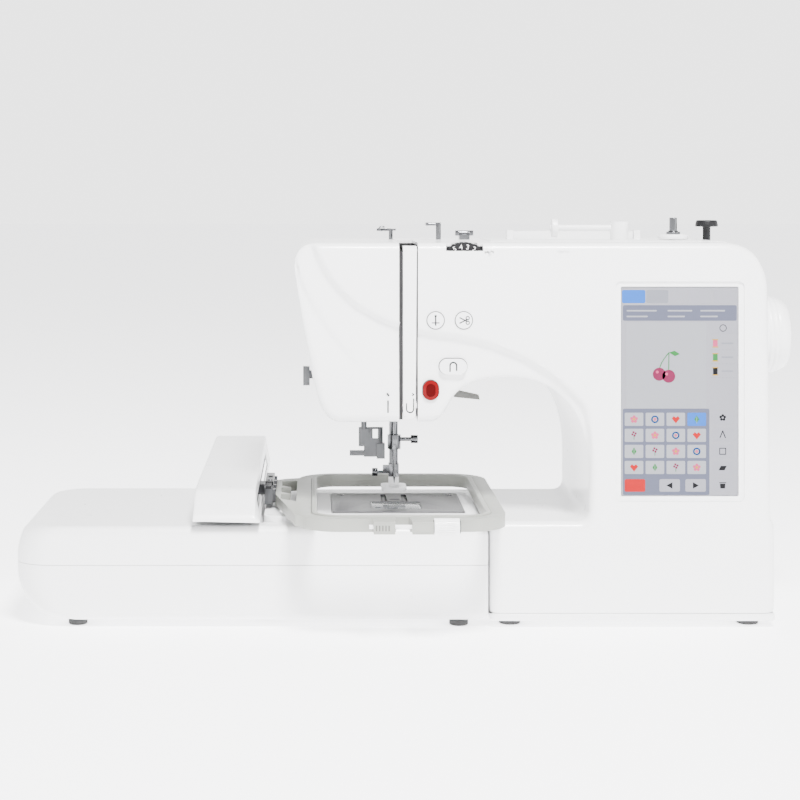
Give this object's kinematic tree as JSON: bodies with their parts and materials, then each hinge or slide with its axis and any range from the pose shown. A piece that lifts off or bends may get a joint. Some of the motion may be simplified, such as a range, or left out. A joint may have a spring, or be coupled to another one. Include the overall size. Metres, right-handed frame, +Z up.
{
  "type": "embroidery machine",
  "caption": "Free-arm sewing and embroidery machine with a touch screen, an embroidery unit on its left and a rectangular hoop under the needle.",
  "frame": {"origin": "middle of the whole machine's box at the level of its feet", "axes": "+X to the handwheel side, +Y to the rear, +Z up; the screen faces -Y"},
  "size_m": [0.585, 0.39, 0.299],
  "materials": {
    "case_white": "gloss",
    "hoop_grey": "satin",
    "plate_metal": "brushed",
    "plated_steel": "polished",
    "machined_steel": "satin",
    "cast_alloy": "cast",
    "black_plastic": "satin",
    "clear_plastic": "clear",
    "screen_glass": "gloss",
    "bezel_white": "gloss",
    "start_red": "translucent",
    "button_white": "satin",
    "board_green": "gloss",
    "rubber_grey": "matte",
    "belt_black": "matte",
    "bronze": "satin",
    "lever_grey": "satin"
  },
  "bodies": {
    "machine": {"base_cover": "case_white", "front_cover": "case_white", "rear_cover": "case_white", "top_cover": "case_white", "face_cover": "case_white", "bed_cover": "case_white", "needle_plate": "plate_metal", "bobbin_case": "black_plastic", "bezel": "bezel_white", "screen": "screen_glass", "inner_frame": "cast_alloy", "circuit_board": "board_green", "drive_motor": "black_plastic", "sockets": "black_plastic", "feet": "rubber_grey", "screws": "plated_steel", "bushes": "bronze", "thread_guides": "plated_steel", "spool_pin": "case_white", "winder_stopper": "black_plastic", "unit_lower": "case_white", "unit_upper": "case_white", "x_rails": "machined_steel", "stepper_motor": "black_plastic", "thread_channel": "case_white", "drive_belts": "belt_black"},
    "main_shaft": {"main_shaft": "machined_steel", "handwheel": "case_white"},
    "lower_shaft": {"lower_shaft": "machined_steel"},
    "hook": {"hook": "machined_steel"},
    "motor_pulley": {"motor_pulley": "machined_steel"},
    "needle_bar": {"needle_bar": "plated_steel", "needle_clamp": "plated_steel", "needle": "plated_steel"},
    "presser_bar": {"presser_bar": "plated_steel", "presser_foot": "case_white", "foot_screw": "plated_steel"},
    "presser_lever": {"presser_lever": "lever_grey"},
    "threader": {"threader": "machined_steel"},
    "take_up_lever": {"take_up_lever": "plated_steel"},
    "tension_dial": {"tension_dial": "black_plastic"},
    "winder_seat": {"winder_seat": "case_white"},
    "winder_spindle": {"winder_spindle": "plated_steel"},
    "spool_cap": {"spool_cap": "case_white"},
    "carry_handle": {"carry_handle": "case_white"},
    "bobbin_cover": {"bobbin_cover": "clear_plastic"},
    "bobbin": {"bobbin": "clear_plastic"},
    "feed_dogs": {"feed_dogs": "plate_metal"},
    "button_needle": {"button_needle": "button_white"},
    "button_cutter": {"button_cutter": "button_white"},
    "button_reverse": {"button_reverse": "button_white"},
    "button_start": {"button_start": "start_red"},
    "power_switch": {"power_switch": "black_plastic"},
    "embroidery_arm": {"arm_cover": "case_white", "arm_frame": "machined_steel"},
    "hoop_carriage": {"clip_carriage": "machined_steel", "hoop_outer": "hoop_grey"},
    "clip_lever": {"clip_lever": "black_plastic"},
    "hoop_inner": {"hoop_inner": "hoop_grey"},
    "hoop_knob": {"hoop_knob": "case_white"}
  },
  "joints": [
    {"name": "handwheel_turn", "type": "hinge", "parent": "machine", "child": "main_shaft", "pos_m": [0.1405, -0.048, 0.209], "axis": [1, 0, 0], "continuous": true},
    {"name": "lower_shaft_turn", "type": "hinge", "parent": "machine", "child": "lower_shaft", "pos_m": [0.0905, -0.028, 0.045], "axis": [1, 0, 0], "continuous": true},
    {"name": "hook_turn", "type": "hinge", "parent": "machine", "child": "hook", "pos_m": [-0.0095, -0.05, 0.06], "axis": [0, 0, 1], "continuous": true},
    {"name": "motor_turn", "type": "hinge", "parent": "machine", "child": "motor_pulley", "pos_m": [0.2355, -0.003, 0.12], "axis": [1, 0, 0], "continuous": true},
    {"name": "needle_stroke", "type": "slide", "parent": "machine", "child": "needle_bar", "axis": [0, 0, 1], "range_m": [-0.029, 0]},
    {"name": "take_up_swing", "type": "hinge", "parent": "machine", "child": "take_up_lever", "pos_m": [-0.0045, -0.083, 0.213], "axis": [1, 0, 0], "range_deg": [-16, 0]},
    {"name": "presser_lift", "type": "slide", "parent": "machine", "child": "presser_bar", "axis": [0, 0, 1], "range_m": [-0.005, 0]},
    {"name": "presser_lever_swing", "type": "hinge", "parent": "machine", "child": "presser_lever", "pos_m": [0.0185, -0.003, 0.172], "axis": [0, 1, 0], "range_deg": [0, 50]},
    {"name": "threader_slide", "type": "slide", "parent": "machine", "child": "threader", "axis": [0, 0, 1], "range_m": [-0.018, 0]},
    {"name": "tension_dial_turn", "type": "hinge", "parent": "machine", "child": "tension_dial", "pos_m": [0.038, -0.118, 0.262], "axis": [0, 1, 0], "range_deg": [-120, 120]},
    {"name": "winder_shift", "type": "slide", "parent": "machine", "child": "winder_seat", "axis": [1, 0, 0], "range_m": [0, 0.005]},
    {"name": "winder_spin", "type": "hinge", "parent": "winder_seat", "child": "winder_spindle", "pos_m": [0.2075, -0.036, 0.29], "axis": [0, 0, 1], "continuous": true},
    {"name": "spool_cap_slide", "type": "slide", "parent": "machine", "child": "spool_cap", "axis": [-1, 0, 0], "range_m": [0, 0.03]},
    {"name": "handle_fold", "type": "hinge", "parent": "machine", "child": "carry_handle", "pos_m": [0.1305, -0.0195, 0.285], "axis": [1, 0, 0], "range_deg": [0, 90]},
    {"name": "bobbin_cover_lift", "type": "slide", "parent": "machine", "child": "bobbin_cover", "axis": [0, 0, 1], "range_m": [0, 0.0012]},
    {"name": "bobbin_spin", "type": "hinge", "parent": "machine", "child": "bobbin", "pos_m": [-0.0095, -0.05, 0.065], "axis": [0, 0, 1], "continuous": true},
    {"name": "feed_dog_lift", "type": "slide", "parent": "machine", "child": "feed_dogs", "axis": [0, 0, 1], "range_m": [0, 0.0018]},
    {"name": "needle_press", "type": "slide", "parent": "machine", "child": "button_needle", "axis": [0, 1, 0], "range_m": [0, 0.0011], "stiffness_N_per_m": 300},
    {"name": "cutter_press", "type": "slide", "parent": "machine", "child": "button_cutter", "axis": [0, 1, 0], "range_m": [0, 0.0011], "stiffness_N_per_m": 300},
    {"name": "reverse_press", "type": "slide", "parent": "machine", "child": "button_reverse", "axis": [0, 1, 0], "range_m": [0, 0.0011], "stiffness_N_per_m": 300},
    {"name": "start_press", "type": "slide", "parent": "machine", "child": "button_start", "axis": [0, 1, 0], "range_m": [0, 0.0011], "stiffness_N_per_m": 300},
    {"name": "power_rock", "type": "hinge", "parent": "machine", "child": "power_switch", "pos_m": [0.2615, -0.078, 0.044], "axis": [0, 1, 0], "range_deg": [-7, 7]},
    {"name": "arm_travel", "type": "slide", "parent": "machine", "child": "embroidery_arm", "axis": [1, 0, 0], "range_m": [-0.043, 0.043]},
    {"name": "hoop_travel", "type": "slide", "parent": "embroidery_arm", "child": "hoop_carriage", "axis": [0, 1, 0], "range_m": [-0.034, 0.118]},
    {"name": "clip_lever_turn", "type": "hinge", "parent": "hoop_carriage", "child": "clip_lever", "pos_m": [-0.1065, -0.058, 0.095], "axis": [0, 0, 1], "range_deg": [0, 45]},
    {"name": "inner_hoop_lift", "type": "slide", "parent": "hoop_carriage", "child": "hoop_inner", "axis": [0, 0, 1], "range_m": [0, 0.011]},
    {"name": "hoop_knob_turn", "type": "hinge", "parent": "hoop_carriage", "child": "hoop_knob", "pos_m": [0.0205, -0.189, 0.0845], "axis": [1, 0, 0], "range_deg": [-360, 360]}
  ],
  "couplings": [
    {"joint": "lower_shaft_turn", "follows": "handwheel_turn", "ratio": 1},
    {"joint": "hook_turn", "follows": "handwheel_turn", "ratio": 2},
    {"joint": "motor_turn", "follows": "handwheel_turn", "ratio": 3.25},
    {"joint": "take_up_swing", "follows": "needle_stroke", "rad_per_m": 9.6},
    {"joint": "presser_lever_swing", "follows": "presser_lift", "rad_per_m": -174}
  ]
}
